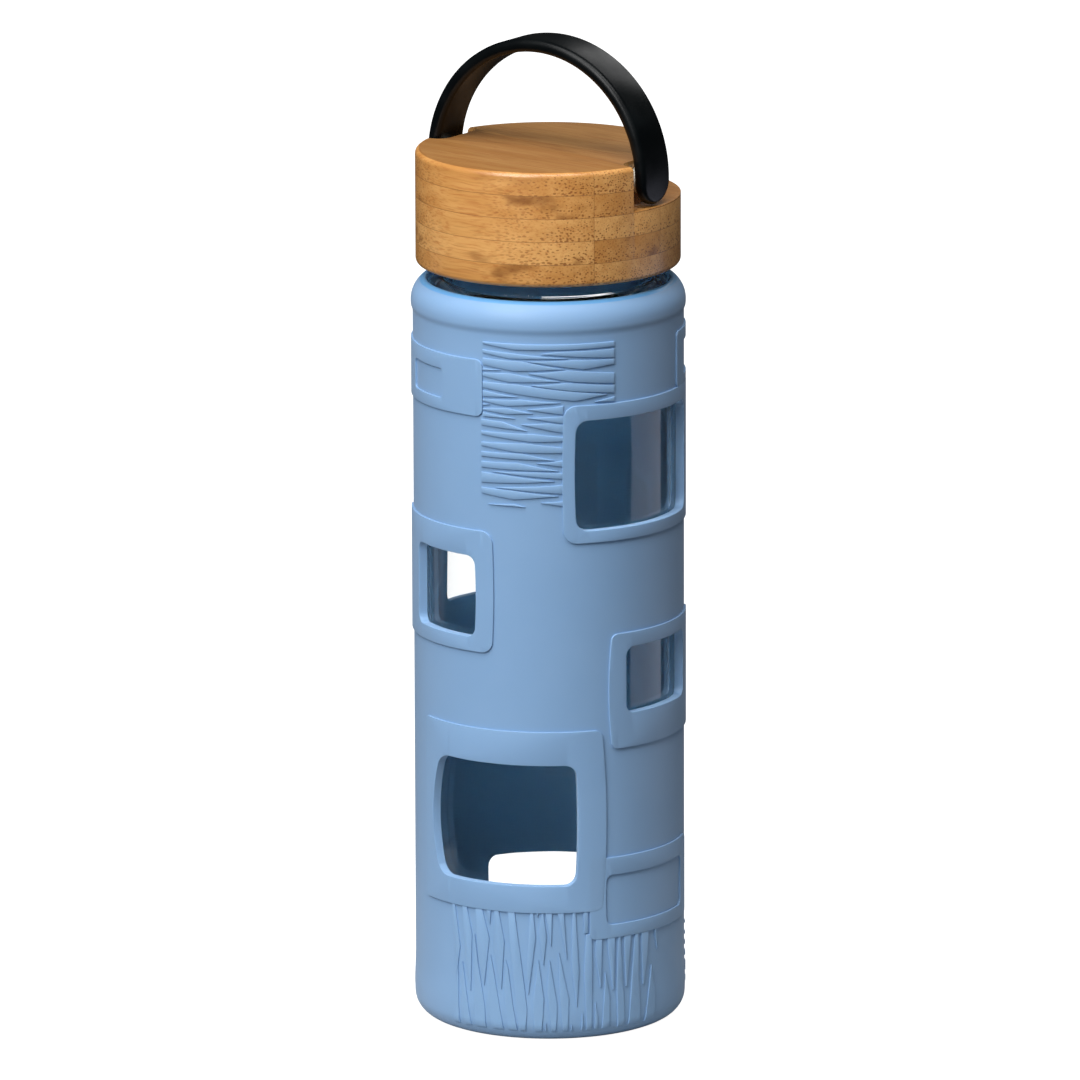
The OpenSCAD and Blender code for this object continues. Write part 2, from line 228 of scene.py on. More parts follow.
def maths(tree: bpy.types.NodeTree, operation: str, *values: Any) -> bpy.types.NodeSocket:
    """One step of arithmetic.

    Args:
        tree: Node tree of the material.
        operation: Name of the Math node's operation.
        values: Numbers or sockets.

    Returns:
        A float socket.
    """
    return add(tree, "ShaderNodeMath", dict(enumerate(values)), operation=operation).outputs[0]


def mix(tree: bpy.types.NodeTree, share: Any, first: Any, second: Any,
        blend: str = "MIX") -> bpy.types.NodeSocket:
    """Mixes two colours.

    Args:
        tree: Node tree of the material.
        share: Number or socket from 0, all first, to 1, all second.
        first: Colour or socket.
        second: Colour or socket.
        blend: Blend type.

    Returns:
        A colour socket.
    """
    node = add(tree, "ShaderNodeMix", {0: share, 6: first, 7: second}, data_type="RGBA", blend_type=blend)
    return node.outputs[2]


def noise(tree: bpy.types.NodeTree, vector: bpy.types.NodeSocket, size: float,
          detail: float = 2.0) -> bpy.types.NodeSocket:
    """Noise whose lumps are about as large as given.

    Args:
        tree: Node tree of the material.
        vector: Coordinates in millimetres.
        size: Size of a lump in millimetres.
        detail: Number of finer layers.

    Returns:
        A float socket, about 0.5 on average.
    """
    node = add(tree, "ShaderNodeTexNoise", {"Vector": vector, "Scale": 1 / size, "Detail": detail})
    return node.outputs["Fac"]


def bump(tree: bpy.types.NodeTree, height: bpy.types.NodeSocket, depth: float,
         normal: bpy.types.NodeSocket | None = None) -> bpy.types.NodeSocket:
    """Relief in the shading.

    Args:
        tree: Node tree of the material.
        height: Height from 0 to 1.
        depth: Depth in millimetres that 1 stands for.
        normal: Normal of a coarser relief below this one.

    Returns:
        A normal socket.
    """
    inputs = {"Height": height, "Distance": depth * MM, "Strength": 1.0}
    if normal is not None:
        inputs["Normal"] = normal
    return add(tree, "ShaderNodeBump", inputs).outputs[0]


# ---------------------------------------------------------------- finishes


@dataclass(frozen=True)
class MattSilicone:
    """Platinum-cured silicone, moulded in a blasted steel tool: an even, powdery, faintly soft surface."""

    name: str
    colour: str
    shade: str
    roughness: float = 0.5
    grit: float = 0.35

    def material(self) -> bpy.types.Material:
        """The finish as a node material.

        Returns:
            The material.
        """
        material, tree, shader = new_material(self.name)
        place = object_coordinates(tree)
        cloud = noise(tree, place, 22.0, 3.0)
        tint = mix(tree, ramp(tree, cloud, 0.3, 0.7, 0.0, 0.35), linear(self.colour), linear(self.shade))
        grain = noise(tree, place, self.grit, 2.0)
        tree.links.new(tint, shader.inputs["Base Color"])
        tree.links.new(ramp(tree, cloud, 0.25, 0.75, self.roughness - 0.04, self.roughness + 0.04),
                       shader.inputs["Roughness"])
        tree.links.new(bump(tree, grain, 0.012), shader.inputs["Normal"])
        shader.inputs["IOR"].default_value = 1.41
        shader.inputs["Sheen Weight"].default_value = 0.12
        shader.inputs["Sheen Roughness"].default_value = 0.5
        shader.inputs["Subsurface Weight"].default_value = 0.08
        shader.inputs["Subsurface Radius"].default_value = (0.4, 0.7, 1.0)
        shader.inputs["Subsurface Scale"].default_value = 1.2 * MM
        return material


@dataclass(frozen=True)
class PressedGlass:
    """Soda-lime glass, blown in a mould: clear and glossy, with the faint waves that moulding leaves."""

    name: str
    colour: str
    wave: float = 14.0

    def material(self) -> bpy.types.Material:
        """The finish as a node material.

        Returns:
            The material.
        """
        material, tree, shader = new_material(self.name)
        place = object_coordinates(tree, stretch=(1, 1, 0.35))
        waves = noise(tree, place, self.wave, 1.0)
        tree.links.new(bump(tree, waves, 0.10), shader.inputs["Normal"])
        shader.inputs["Base Color"].default_value = linear(self.colour)
        shader.inputs["Roughness"].default_value = 0.0
        shader.inputs["IOR"].default_value = 1.5
        shader.inputs["Transmission Weight"].default_value = 1.0
        return material


@dataclass(frozen=True)
class Bamboo:
    """Laminated bamboo under satin varnish.

    The lid is turned from layers glued flat, each made of strips. All fibres run one way, so the sides
    that face along them show the cut ends of the fibre bundles as dark dots, and the other sides and the
    top show them as streaks. Each strip has its own tone, and some carry a brown growth node.
    """

    name: str
    pale: str = "#EBB36C"
    ripe: str = "#C98C48"
    dot: str = "#81491B"
    knot: str = "#85501E"
    glue: str = "#6E421F"
    fibre_turn: float = -5.7
    layer: float = 6.0
    strip: float = 21.3
    strip_start: float = -17.1
    base_z: float = 200.0
    bundle: float = 0.74

    def material(self) -> bpy.types.Material:
        """The finish as a node material.

        Returns:
            The material.
        """
        material, tree, shader = new_material(self.name)
        place = object_coordinates(tree, self.fibre_turn, (0, 0, self.base_z))
        axes = add(tree, "ShaderNodeSeparateXYZ", {0: place})
        across, up = axes.outputs[1], axes.outputs[2]

        layer_share = maths(tree, "DIVIDE", up, self.layer)
        layer_number = maths(tree, "FLOOR", layer_share)
        layer_in = maths(tree, "FRACT", layer_share)
        strip_share = maths(tree, "DIVIDE", maths(tree, "SUBTRACT", across, self.strip_start), self.strip)
        strip_number = maths(tree, "FLOOR", strip_share)
        strip_in = maths(tree, "FRACT", strip_share)
        board = add(tree, "ShaderNodeCombineXYZ", {0: layer_number, 1: strip_number, 2: 0.37})
        lot = add(tree, "ShaderNodeTexWhiteNoise", {"Vector": board.outputs[0]}, noise_dimensions="3D")
        lot_parts = add(tree, "ShaderNodeSeparateColor", {0: lot.outputs["Color"]})
        tone, side, age = lot_parts.outputs[0], lot_parts.outputs[1], lot_parts.outputs[2]

        # Each board has its own piece of the pattern
        shift = add(tree, "ShaderNodeVectorMath", {0: lot.outputs["Color"], 1: (90.0, 40.0, 40.0)},
                    operation="MULTIPLY")
        own = add(tree, "ShaderNodeVectorMath", {0: place, 1: shift.outputs[0]}, operation="ADD").outputs[0]
        sway = add(tree, "ShaderNodeTexNoise", {"Vector": own, "Scale": 1 / 12.0, "Detail": 1.0})
        swayed = add(tree, "ShaderNodeVectorMath",
                     {0: add(tree, "ShaderNodeVectorMath", {0: sway.outputs["Color"], 1: (0.0, 1.6, 1.6)},
                             operation="MULTIPLY").outputs[0], 1: own}, operation="ADD").outputs[0]
        fibre = add(tree, "ShaderNodeVectorMath", {0: swayed, 1: (0.03, 1.0, 1.15)}, operation="MULTIPLY")
        dots = add(tree, "ShaderNodeTexVoronoi",
                   {"Vector": fibre.outputs[0], "Scale": 1 / self.bundle, "Randomness": 0.8},
                   feature="F1")
        # Fibre bundles crowd towards one face of each board and thin out towards the other
        crowd = maths(tree, "SUBTRACT", 1.0, layer_in)
        dot_size = maths(tree, "ADD", maths(tree, "MULTIPLY_ADD", side, 0.07, 0.13),
                         maths(tree, "MULTIPLY", crowd, 0.22))
        dot_edge = maths(tree, "SUBTRACT", dot_size, dots.outputs["Distance"])
        dot_mask = ramp(tree, dot_edge, -0.10, 0.08)
        streak = noise(tree, fibre.outputs[0], 0.5, 3.0)
        broad = noise(tree, add(tree, "ShaderNodeVectorMath", {0: own, 1: (0.07, 1.0, 1.0)},
                                operation="MULTIPLY").outputs[0], 3.2, 2.0)
        knots = noise(tree, add(tree, "ShaderNodeVectorMath", {0: own, 1: (0.35, 1.0, 1.0)},
                                operation="MULTIPLY").outputs[0], 9.0, 3.0)

        # Only the sides that cut across the fibres show dots; along them the bundles are faint streaks
        fibre = math.radians(self.fibre_turn)
        facing = add(tree, "ShaderNodeVectorMath",
                     {0: add(tree, "ShaderNodeTexCoord").outputs["Normal"],
                      1: (math.cos(fibre), math.sin(fibre), 0)},
                     operation="DOT_PRODUCT").outputs["Value"]
        cut_end = maths(tree, "ABSOLUTE", facing)
        dot_mask = maths(tree, "MULTIPLY", dot_mask, ramp(tree, cut_end, 0.15, 0.8, 0.16, 0.75))
        board_tone = maths(tree, "MULTIPLY_ADD", tone, 0.5, maths(tree, "MULTIPLY", broad, 0.85))
        wood = mix(tree, ramp(tree, board_tone, 0.25, 1.1), linear(self.pale), linear(self.ripe))
        wood = mix(tree, ramp(tree, streak, 0.45, 0.75, 0.0, 0.45), wood, linear(self.ripe), "MULTIPLY")
        knot_mask = maths(tree, "MULTIPLY", ramp(tree, knots, 0.56, 0.72),
                          ramp(tree, age, 0.35, 0.7, 0.2, 0.9))
        wood = mix(tree, knot_mask, wood, linear(self.knot))
        wood = mix(tree, dot_mask, wood, linear(self.dot))
        flat_line = maths(tree, "LESS_THAN", maths(tree, "ABSOLUTE", maths(tree, "SUBTRACT", layer_in, 0.5)),
                          0.5 - 0.09 / self.layer)
        edge_line = maths(tree, "LESS_THAN", maths(tree, "ABSOLUTE", maths(tree, "SUBTRACT", strip_in, 0.5)),
                          0.5 - 0.08 / self.strip)
        joint = maths(tree, "SUBTRACT", 1.0, maths(tree, "MULTIPLY", flat_line, edge_line))
        wood = mix(tree, maths(tree, "MULTIPLY", joint, 0.5), wood, linear(self.glue))
        tree.links.new(wood, shader.inputs["Base Color"])

        relief = maths(tree, "SUBTRACT", maths(tree, "MULTIPLY", streak, 0.5), dot_mask)
        tree.links.new(bump(tree, relief, 0.03), shader.inputs["Normal"])
        tree.links.new(ramp(tree, streak, 0.3, 0.8, 0.40, 0.55), shader.inputs["Roughness"])
        shader.inputs["IOR"].default_value = 1.5
        shader.inputs["Coat Weight"].default_value = 0.45
        shader.inputs["Coat Roughness"].default_value = 0.22
        shader.inputs["Coat IOR"].default_value = 1.5
        return material


@dataclass(frozen=True)
class StrapRubber:
    """Thermoplastic rubber, moulded in a satin tool: near black, with broad soft highlights."""

    name: str
    colour: str
    worn: str
    roughness: float = 0.33

    def material(self) -> bpy.types.Material:
        """The finish as a node material.

        Returns:
            The material.
        """
        material, tree, shader = new_material(self.name)
        place = object_coordinates(tree)
        rub = noise(tree, place, 9.0, 4.0)
        rubbed = ramp(tree, rub, 0.45, 0.8, 0.0, 0.6)
        tree.links.new(mix(tree, rubbed, linear(self.colour), linear(self.worn)),
                       shader.inputs["Base Color"])
        tree.links.new(ramp(tree, rub, 0.3, 0.7, self.roughness - 0.04, self.roughness + 0.07),
                       shader.inputs["Roughness"])
        tree.links.new(bump(tree, noise(tree, place, 0.3, 2.0), 0.008), shader.inputs["Normal"])
        shader.inputs["IOR"].default_value = 1.45
        shader.inputs["Specular IOR Level"].default_value = 0.25
        return material


@dataclass(frozen=True)
class MouldedPlastic:
    """Polypropylene or nylon from an injection mould: slightly waxy, with a faint mould texture."""

    name: str
    colour: str
    shade: str
    roughness: float = 0.38

    def material(self) -> bpy.types.Material:
        """The finish as a node material.

        Returns:
            The material.
        """
        material, tree, shader = new_material(self.name)
        place = object_coordinates(tree)
        flow = noise(tree, place, 7.0, 2.0)
        tree.links.new(mix(tree, flow, linear(self.colour), linear(self.shade)), shader.inputs["Base Color"])
        tree.links.new(ramp(tree, flow, 0.3, 0.7, self.roughness - 0.05, self.roughness + 0.05),
                       shader.inputs["Roughness"])
        tree.links.new(bump(tree, noise(tree, place, 0.25, 2.0), 0.006), shader.inputs["Normal"])
        shader.inputs["IOR"].default_value = 1.49
        return material


@dataclass(frozen=True)
class TurnedMetal:
    """Bar stock turned on a lathe: fine rings round the axis and a bright, slightly smeared highlight."""

    name: str
    colour: str
    roughness: float
    groove: float = 0.12
    centre: tuple[float, float, float] = (0.0, 0.0, 0.0)

    def material(self) -> bpy.types.Material:
        """The finish as a node material.

        Returns:
            The material.
        """
        material, tree, shader = new_material(self.name)
        place = object_coordinates(tree, centre=self.centre)
        rings = add(tree, "ShaderNodeTexWave", {"Vector": place, "Scale": 1 / self.groove / 20,
                                                "Distortion": 0.4, "Detail": 1.0},
                    wave_type="BANDS", bands_direction="X")
        dust = noise(tree, place, 1.5, 2.0)
        shader.inputs["Base Color"].default_value = linear(self.colour)
        shader.inputs["Metallic"].default_value = 1.0
        tree.links.new(ramp(tree, dust, 0.3, 0.7, self.roughness - 0.05, self.roughness + 0.06),
                       shader.inputs["Roughness"])
        tree.links.new(bump(tree, rings.outputs["Fac"], 0.004), shader.inputs["Normal"])
        return material


# ---------------------------------------------------------------- mesh helpers


def finish_mesh(bm: bmesh.types.BMesh, name: str, material: bpy.types.Material,
                recalculate: bool = True) -> bpy.types.Object:
    """Turns a bmesh in millimetres into a smooth-shaded object in metres.

    Args:
        bm: Mesh in millimetres; it is freed.
        name: Name of the piece.
        material: Its finish.
        recalculate: Whether the normals are turned outwards here.

    Returns:
        The object, at the origin.
    """
    if recalculate:
        bmesh.ops.recalc_face_normals(bm, faces=bm.faces)
    bmesh.ops.scale(bm, vec=(MM, MM, MM), verts=bm.verts)
    for face in bm.faces:
        face.smooth = True
    mesh = bpy.data.meshes.new(name)
    bm.to_mesh(mesh)
    bm.free()
    mesh.set_sharp_from_angle(angle=SMOOTH_ANGLE)
    mesh.materials.append(material)
    piece = bpy.data.objects.new(name, mesh)
    bpy.context.scene.collection.objects.link(piece)
    return piece


def place_piece(piece: bpy.types.Object, body: str, nodes: Iterable[str]) -> None:
    """Puts a piece on its body and hides the solids that it stands for.

    Args:
        piece: The finished piece.
        body: Body that it moves with.
        nodes: Nodes that it replaces.
    """
    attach(piece, body)
    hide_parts(*nodes)
    log.info("%s: %d faces", piece.name, len(piece.data.polygons))


def profile(bm: bmesh.types.BMesh, corners: Sequence[Corner], segments: int = 8) -> bmesh.types.BMFace:
    """Makes a flat cross-section in the XZ plane with rounded corners.

    Args:
        bm: Mesh that gets it.
        corners: Radius from the axis, height and rounding of each corner, in order.
        segments: Facets of a rounded corner.

    Returns:
        The face.
    """
    verts = [bm.verts.new((r, 0, z)) for r, z, _ in corners]
    bm.faces.new(verts)
    for vert, (_, _, rounding) in zip(verts, corners):
        if rounding > 0:
            bmesh.ops.bevel(bm, geom=[vert], offset=rounding, offset_type="OFFSET", segments=segments,
                            profile=0.5, affect="VERTICES", material=-1, clamp_overlap=False)
    return bm.faces[:][0]


def turn_profile(corners: Sequence[Corner], steps: int = 180, start: float = 0.0,
                 segments: int = 8, opened: Callable[[Vector], bool] | None = None) -> bmesh.types.BMesh:
    """Turns a closed cross-section round Z.

    Args:
        corners: Radius, height and rounding of each corner.
        steps: Facets round the axis.
        start: Direction of the first facet edge, in degrees.
        segments: Facets of a rounded corner.
        opened: Tells whether a point lies on a cut that stays open.

    Returns:
        The turned mesh, in millimetres.
    """
    bm = bmesh.new()
    face = profile(bm, corners, segments)
    bmesh.ops.delete(bm, geom=[face], context="FACES_ONLY")
    on_axis = [e for e in bm.edges if all(abs(v.co.x) < 1e-4 for v in e.verts)]
    on_cut = [e for e in bm.edges if opened and all(opened(v.co) for v in e.verts)]
    bmesh.ops.delete(bm, geom=list(set(on_axis + on_cut)), context="EDGES")
    bmesh.ops.rotate(bm, cent=(0, 0, 0), matrix=Matrix.Rotation(math.radians(start), 3, "Z"), verts=bm.verts)
    bmesh.ops.spin(bm, geom=bm.verts[:] + bm.edges[:], cent=(0, 0, 0), axis=(0, 0, 1), dvec=(0, 0, 0),
                   angle=2 * math.pi, steps=steps, use_merge=True, use_duplicate=False)
    bmesh.ops.remove_doubles(bm, verts=bm.verts, dist=1e-4)
    bmesh.ops.dissolve_degenerate(bm, dist=1e-5, edges=bm.edges)
    bmesh.ops.recalc_face_normals(bm, faces=bm.faces)
    return bm


def outline(bm: bmesh.types.BMesh, points: Sequence[Point]) -> bmesh.types.BMFace:
    """Makes a flat face in the XY plane.

    Args:
        bm: Mesh that gets it.
        points: Its corners in order.

    Returns:
        The face.
    """
    return bm.faces.new([bm.verts.new((x, y, 0)) for x, y in points])


def raise_faces(bm: bmesh.types.BMesh, faces: Sequence[bmesh.types.BMFace], low: float,
                high: float) -> None:
    """Gives flat faces in the XY plane a thickness.

    Args:
        bm: Mesh that holds them.
        faces: The faces.
        low: Height of the underside.
        high: Height of the upper side.
    """
    verts = {v for f in faces for v in f.verts}
    bmesh.ops.translate(bm, vec=(0, 0, low), verts=list(verts))
    made = bmesh.ops.extrude_face_region(bm, geom=list(faces), use_keep_orig=True)["geom"]
    top = [g for g in made if isinstance(g, bmesh.types.BMVert)]
    bmesh.ops.translate(bm, vec=(0, 0, high - low), verts=top)
    bmesh.ops.recalc_face_normals(bm, faces=bm.faces)


def soften_top(bm: bmesh.types.BMesh, high: float, size: float, segments: int = 2) -> None:
    """Rounds the edges at the top of raised shapes.

    Args:
        bm: Mesh of the raised shapes.
        high: Height of their tops.
        size: Width of the rounding.
        segments: Facets of the rounding.
    """
    edges = [e for e in bm.edges if all(abs(v.co.z - high) < 1e-4 for v in e.verts)
             and len(e.link_faces) == 2 and e.calc_face_angle(0) > math.radians(40)]
    bmesh.ops.bevel(bm, geom=edges, offset=size, offset_type="OFFSET", segments=segments, profile=0.5,
                    affect="EDGES", material=-1, clamp_overlap=True)


def slice_flat(bm: bmesh.types.BMesh, axis: int, cuts: Iterable[float]) -> None:
    """Cuts a flat mesh at regular places, so that it can bend.

    Args:
        bm: Mesh to cut.
        axis: 0 to cut across X, 1 to cut across Y.
        cuts: Places of the cuts.
    """
    normal = Vector((axis == 0, axis == 1, 0))
    low = min(v.co[axis] for v in bm.verts)
    high = max(v.co[axis] for v in bm.verts)
    for cut in cuts:
        if low < cut < high:
            bmesh.ops.bisect_plane(bm, geom=bm.verts[:] + bm.edges[:] + bm.faces[:], dist=1e-4,
                                   plane_co=normal * cut, plane_no=normal)


def join(target: bmesh.types.BMesh, *parts: bmesh.types.BMesh) -> None:
    """Adds the meshes of some parts to one mesh and frees them.

    Args:
        target: Mesh that gets them.
        parts: Meshes to add.
    """
    for part in parts:
        mesh = bpy.data.meshes.new("part")
        part.to_mesh(mesh)
        part.free()
        target.from_mesh(mesh)
        bpy.data.meshes.remove(mesh)


def cut_away(piece: bpy.types.Object, cutters: Sequence[bpy.types.Object]) -> None:
    """Cuts shapes out of a piece and removes the cutters.

    Args:
        piece: Piece to cut.
        cutters: Closed shapes.
    """
    for cutter in cutters:
        modifier = piece.modifiers.new("cut", "BOOLEAN")
        modifier.operation = "DIFFERENCE"
        modifier.solver = "EXACT"
        modifier.object = cutter
    bpy.context.view_layer.update()
    shaped = piece.evaluated_get(bpy.context.evaluated_depsgraph_get())
    mesh = bpy.data.meshes.new_from_object(shaped)
    piece.modifiers.clear()
    piece.data = mesh
    for cutter in cutters:
        bpy.data.objects.remove(cutter)


# ---------------------------------------------------------------- sleeve


@dataclass(frozen=True)
class Area:
    """A four-sided area of the sleeve with round corners.

    Edges are degrees round from the front, heights are millimetres, and the upright edges may bow out.
    """

    left: float
    right: float
    low: float
    high: float
    corner: float
    bow_left: float = 0.0
    bow_right: float = 0.0

    def loop(self, bm: bmesh.types.BMesh, radius: float, grow: float = 0.0) -> None:
        """Draws the area's outline flat.

        Args:
            bm: Mesh that gets it.
            radius: Radius that the flat drawing is bent to.
            grow: How much larger it is drawn on every side.
        """
        x0 = math.radians(self.left) * radius - grow
        x1 = math.radians(self.right) * radius + grow
        y0, y1 = self.low - grow, self.high + grow
        before = set(bm.edges)
        verts = [bm.verts.new((x, y, 0)) for x, y in ((x0, y0), (x1, y0), (x1, y1), (x0, y1))]
        bm.faces.new(verts)
        bmesh.ops.bevel(bm, geom=verts, offset=self.corner, offset_type="OFFSET", segments=6,
                        profile=0.5, affect="VERTICES", material=-1, clamp_overlap=True)
        bmesh.ops.delete(bm, geom=bm.faces[:], context="FACES_ONLY")
        sides = [e for e in bm.edges if e not in before and e.calc_length() > self.corner
                 and abs(e.verts[0].co.x - e.verts[1].co.x) < 1e-6]
        bmesh.ops.subdivide_edges(bm, edges=sides, cuts=9, use_grid_fill=False)
        middle, half = (y0 + y1) / 2, (y1 - y0) / 2
        for vert in {v for e in bm.edges if e not in before for v in e.verts}:
            share = 1 - ((vert.co.y - middle) / half) ** 2
            if vert.co.x < (x0 + x1) / 2:
                vert.co.x -= self.bow_left * share
            else:
                vert.co.x += self.bow_right * share


@dataclass
class Sleeve:
    """Soft silicone sleeve: a tube with a closed foot, a rolled lip, framed windows and raised shards."""

    glass_r: float
    frame_r: float
    top: float
    wall: float = 1.7
    rise: float = 0.5
    fit: float = 0.1
    foot: float = 5.4
    swell: float = 0.25
    swell_z: float = 8.0
    lip_r: float = 7.0
    lip_z: float = 190.2
    lip_roll: float = 57.0
    step: float = 2.0
    seam: float = 110.0
    tube_low: float = 9.0
    tube_high: float = 183.5
    plate_rise: float = 0.47
    shard_rise: float = 0.4
    root: float = 0.3

    windows = (
        Area(11.5, 80, 136.2, 165.3, 3.2, 0.4), Area(-71, -32.8, 107.2, 128.7, 2.4, 0, 0.4),
        Area(34, 77, 86.8, 104.4, 2.4), Area(-52.5, 11.2, 42.1, 74.3, 3, 3.4, 0.6),
        Area(-208, -149, 12.5, 34, 3), Area(-168, -120.5, 105.6, 127.4, 2.4),
        Area(-224, -176, 155, 172.5, 3),
    )
    frames = (
        Area(6.2, 93, 133, 169.3, 3.4, 0.3), Area(-98, -24.6, 103.4, 135.6, 3, 0, 0.5),
        Area(27.3, 96, 77.8, 108.2, 1.5, 1), Area(-64.8, 22.5, 35, 83.2, 2, 0, 1.2),
        Area(-216, -138, 8.5, 40, 2), Area(-176, -112, 100.5, 132.5, 3),
        Area(-232, -169, 150.5, 177, 2),
    )
    plates = (
        Area(-112, -28.7, 165.7, 180.6, 2), Area(68.9, 128, 169, 183.9, 1.5),
        Area(17, 81, 27.4, 48.9, 1.5), Area(118, 160, 62, 92, 2),
    )
    panels = (
        Area(-75, -50.3, 168.8, 176.6, 1), Area(79.1, 118, 171.5, 180.5, 1),
        Area(24.6, 73, 30.9, 44.3, 1.6, 0.3), Area(125, 153, 66, 88, 1.6),
    )

    @property
    def outer_r(self) -> float:
        """Radius of the plain tube."""
        return self.frame_r - self.rise

    def radius_at(self, height: float) -> float:
        """Outer radius at a height, with the round foot and the swelling above it.

        Args:
            height: Height over the base.

        Returns:
            The radius.
        """
        if height < self.foot:
            drop = self.foot - height
            return self.outer_r + self.swell_at(height) - self.foot + math.sqrt(self.foot ** 2 - drop ** 2)
        return self.outer_r + self.swell_at(height)

    def swell_at(self, height: float) -> float:
        """How far the sleeve swells out at a height."""
        share = max(0.0, 1 - abs(height - self.swell_z) / self.swell_z)
        return self.swell * share * share * (3 - 2 * share)

    def bend(self, bm: bmesh.types.BMesh) -> None:
        """Bends a flat drawing round the sleeve: X goes round, Y goes up and Z stands out.

        Args:
            bm: Mesh with the drawing.
        """
        for vert in bm.verts:
            round_x, height, proud = vert.co
            angle = math.radians(FRONT) + round_x / self.outer_r
            reach = min(self.radius_at(height) + proud, self.frame_r)
            vert.co = (reach * math.cos(angle), reach * math.sin(angle), height)

    def slices(self) -> list[float]:
        """Places round the sleeve, in flat millimetres, at which a drawing is cut so that it bends.

        Returns:
            The places, over two turns.
        """
        count = round(360 / self.step)
        arc = math.radians(self.step) * self.outer_r
        first = math.radians(self.seam - 360) * self.outer_r
        return [first + arc * i for i in range(2 * count)]

    def tube(self) -> bmesh.types.BMesh:
        """The plain wall between foot and lip, with room for the windows.

        Returns:
            A mesh that is open at both ends.
        """
        bm = bmesh.new()
        left = math.radians(self.seam - 360) * self.outer_r
        right = math.radians(self.seam) * self.outer_r
        corners = ((left, self.tube_low), (right, self.tube_low),
                   (right, self.tube_high), (left, self.tube_high))
        outline(bm, corners)
        for window in self.windows:
            window.loop(bm, self.outer_r, self.rise * 2)
        bmesh.ops.triangle_fill(bm, use_beauty=True, use_dissolve=False, edges=bm.edges[:], normal=(0, 0, 1))
        slice_flat(bm, 0, self.slices())
        slice_flat(bm, 1, (12.0, 2 * self.swell_z, 60, 100, 140))
        self.bend(bm)
        bmesh.ops.remove_doubles(bm, verts=bm.verts, dist=1e-3)
        made = bmesh.ops.extrude_face_region(bm, geom=bm.faces[:], use_keep_orig=True)["geom"]
        inner = [g for g in made if isinstance(g, bmesh.types.BMVert)]
        inside = self.glass_r + self.fit
        for vert in inner:
            flat = Vector((vert.co.x, vert.co.y)).normalized() * inside
            vert.co.x, vert.co.y = flat
        ends = [f for f in bm.faces if all(abs(v.co.z - self.tube_low) < 1e-3 for v in f.verts)
                or all(abs(v.co.z - self.tube_high) < 1e-3 for v in f.verts)]
        bmesh.ops.delete(bm, geom=ends, context="FACES")
        return bm

    def shell(self) -> bmesh.types.BMesh:
        """The whole plain sleeve as one closed shell: foot, tube and lip.

        Returns:
            A closed mesh.
        """
        inside = self.glass_r + self.fit
        low_r = self.radius_at(self.tube_low)
        start = FRONT + self.seam - 360
        foot = turn_profile(
            [(0, 0, 0), (self.outer_r, 0, self.foot), (self.outer_r + self.swell, self.swell_z, 0),
             (low_r, self.tube_low, 0), (inside, self.tube_low, 0), (inside, self.wall, 4.0),
             (0, self.wall, 0)],
            round(360 / self.step), start, 10, lambda co: abs(co.z - self.tube_low) < 1e-4)
        centre = self.frame_r - self.lip_r
        rolled = [(centre + self.lip_r * math.cos(math.radians(a)), self.lip_z
                   + self.lip_r * math.sin(math.radians(a))) for a in range(0, round(self.lip_roll), 6)]
        rim_r = centre + self.lip_r * math.cos(math.radians(self.lip_roll))
        steps = ((0, 3.7), (0.05, 4.3), (0.24, 4.9), (0.43, 5.4), (0.49, 6.0))
        lip_profile = [(self.outer_r, self.tube_high, 0)]
        lip_profile += [(self.outer_r + out, self.tube_high + up, 0) for out, up in steps]
        lip_profile += [(r, z, 0) for r, z in rolled]
        lip_profile += [(rim_r, self.top, 0.35), (rim_r - 0.8, self.top, 0.3),
                        (rim_r - 0.8, self.top - 1.8, 0),
                        (inside - 0.9, self.top - 4.2, 0), (inside, self.lip_z - 0.4, 0),
                        (inside, self.tube_high, 0)]
        lip = turn_profile(lip_profile, round(360 / self.step), start, 4,
                           lambda co: abs(co.z - self.tube_high) < 1e-4)
        bm = bmesh.new()
        join(bm, foot, lip, self.tube())
        bmesh.ops.remove_doubles(bm, verts=bm.verts, dist=5e-3)
        bmesh.ops.recalc_face_normals(bm, faces=bm.faces)
        return bm

    def rings(self, outers: Sequence[Area], holes: Sequence[Area], low: float, high: float,
              softness: float) -> bmesh.types.BMesh:
        """Raised rings, such as the window frames.

        Args:
            outers: Outer areas.
            holes: The hole of each.
            low: Height of their underside over the tube.
            high: Height of their top over the tube.
            softness: Rounding of their top edges.

        Returns:
            The bent mesh.
        """
        whole = bmesh.new()
        for outer, hole in zip(outers, holes):
            bm = bmesh.new()
            outer.loop(bm, self.outer_r)
            hole.loop(bm, self.outer_r)
            bmesh.ops.triangle_fill(bm, use_beauty=True, use_dissolve=False, edges=bm.edges[:],
                                    normal=(0, 0, 1))
            raise_faces(bm, bm.faces[:], low, high)
            soften_top(bm, high, softness, 3)
            slice_flat(bm, 0, self.slices())
            slice_flat(bm, 1, (10.0, 12.0, 14.0, 2 * self.swell_z))
            join(whole, bm)
        self.bend(whole)
        return whole

    def shards(self, points: Sequence[Sequence[Point]], turn: float = 0.0,
               lift: float = 0.0) -> bmesh.types.BMesh:
        """Raised flat shards.

        Args:
            points: Outlines in flat millimetres, round from the front and up from the base.
            turn: How far round the patch is moved, in millimetres.
            lift: How far up the patch is moved.

        Returns:
            The bent mesh.
        """
        bm = bmesh.new()
        faces = [outline(bm, [(x + turn, y + lift) for x, y in shard]) for shard in points]
        raise_faces(bm, faces, -self.root, self.shard_rise)
        soften_top(bm, self.shard_rise, 0.14)
        slice_flat(bm, 0, self.slices())
        slice_flat(bm, 1, (3.9, 4.6, 5.4, 6.6, 8, 10, 13, 2 * self.swell_z))
        self.bend(bm)
        return bm

